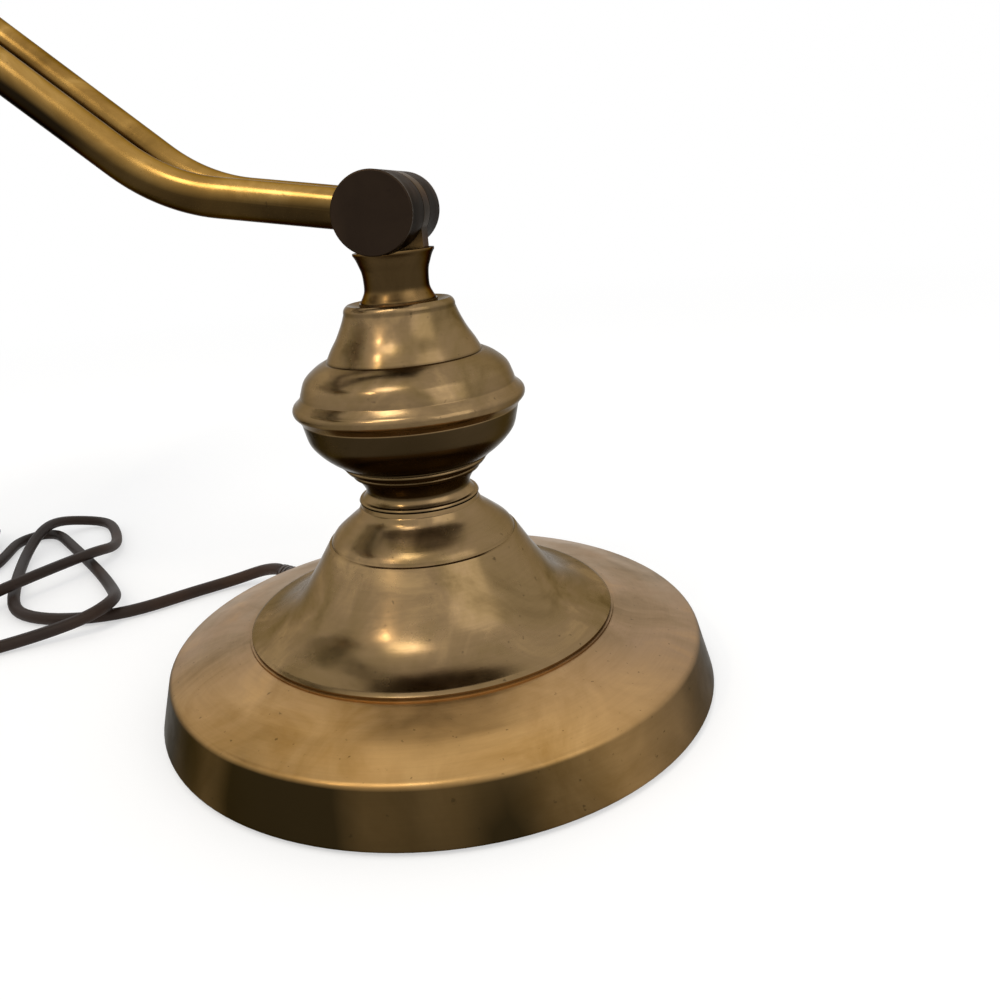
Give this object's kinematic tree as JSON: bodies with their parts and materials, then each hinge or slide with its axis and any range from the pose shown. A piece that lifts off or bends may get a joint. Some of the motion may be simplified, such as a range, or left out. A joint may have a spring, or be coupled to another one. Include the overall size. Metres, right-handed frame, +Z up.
{
  "type": "bankers lamp",
  "caption": "Desk lamp: weighted round brass base, turned stem, double-tube arm on friction knuckles, tilting green glass trough shade, socket with turn switch, cord with plug.",
  "frame": {"origin": "middle of the round foot, on the table", "axes": "+Z up; both knuckles turn about Y; the arm leaves the stem towards -X and the open side of the shade faces down"},
  "size_m": [0.3833, 0.2516, 0.306],
  "materials": {
    "aged_brass": "satin, aged, streaked",
    "dark_brass": "satin, dark aged",
    "bright_brass": "satin",
    "steel": "zinc plated",
    "cast_iron": "rough casting",
    "felt": "pressed felt",
    "green_glass": "gloss, cased, white inside",
    "opal_glass": "opal",
    "bulb_metal": "drawn",
    "porcelain": "glazed",
    "liner_card": "pressed card",
    "brown_plastic": "moulded",
    "cord_rubber": "smooth, dull",
    "tie_rubber": "matt"
  },
  "bodies": {
    "base": {"base_shell": "aged_brass", "base_weight": "cast_iron", "felt_pad": "felt", "clamp_washer": "steel", "clamp_nut": "steel", "threaded_rod": "steel", "cone_weight": "cast_iron", "base_cone": "aged_brass", "stem_spool": "aged_brass", "ball_lower": "aged_brass", "ball_upper": "aged_brass", "stem_bell": "aged_brass", "stem_neck": "aged_brass", "cord_bushing": "cord_rubber", "cord_lead": "cord_rubber", "cord_hank": "cord_rubber", "cord_tail": "cord_rubber", "cord_tie": "tie_rubber", "plug_body": "brown_plastic", "plug_blades": "bright_brass"},
    "arm": {"front_arm_knuckle": "dark_brass", "rear_arm_knuckle": "dark_brass", "front_tube": "dark_brass", "rear_tube": "dark_brass", "arm_bolt": "steel", "arm_bolt_nut": "steel", "arm_washers": "steel", "arm_caps": "dark_brass", "front_shade_knuckle": "dark_brass", "rear_shade_knuckle": "dark_brass", "shade_bolt": "steel", "shade_bolt_nut": "steel", "shade_washers": "steel", "shade_caps": "dark_brass"},
    "shade": {"shade_bracket": "bright_brass", "shade_cushions": "felt", "shade_glass": "green_glass", "shade_screws": "bright_brass", "shade_finials": "bright_brass", "socket_bracket": "bright_brass", "bracket_screws": "steel", "socket_nipple": "steel", "socket_cap": "bright_brass", "socket_shell": "bright_brass", "socket_liner": "liner_card", "socket_body": "porcelain", "screw_shell": "bright_brass", "centre_contact": "bright_brass", "bulb_cap": "bulb_metal", "bulb_glass": "opal_glass"},
    "switch": {"switch_knob": "brown_plastic"}
  },
  "joints": [
    {"name": "arm_pivot", "type": "hinge", "parent": "base", "child": "arm", "pos_m": [0, 0, 0.1331], "axis": [0, 1, 0], "range_deg": [-30, 50]},
    {"name": "shade_tilt", "type": "hinge", "parent": "arm", "child": "shade", "pos_m": [-0.21239, 0, 0.24287], "axis": [0, 1, 0], "range_deg": [-45, 20]},
    {"name": "switch_turn", "type": "hinge", "parent": "shade", "child": "switch", "pos_m": [-0.25039, -0.058, 0.23087], "axis": [0, 0, 1], "continuous": true}
  ]
}
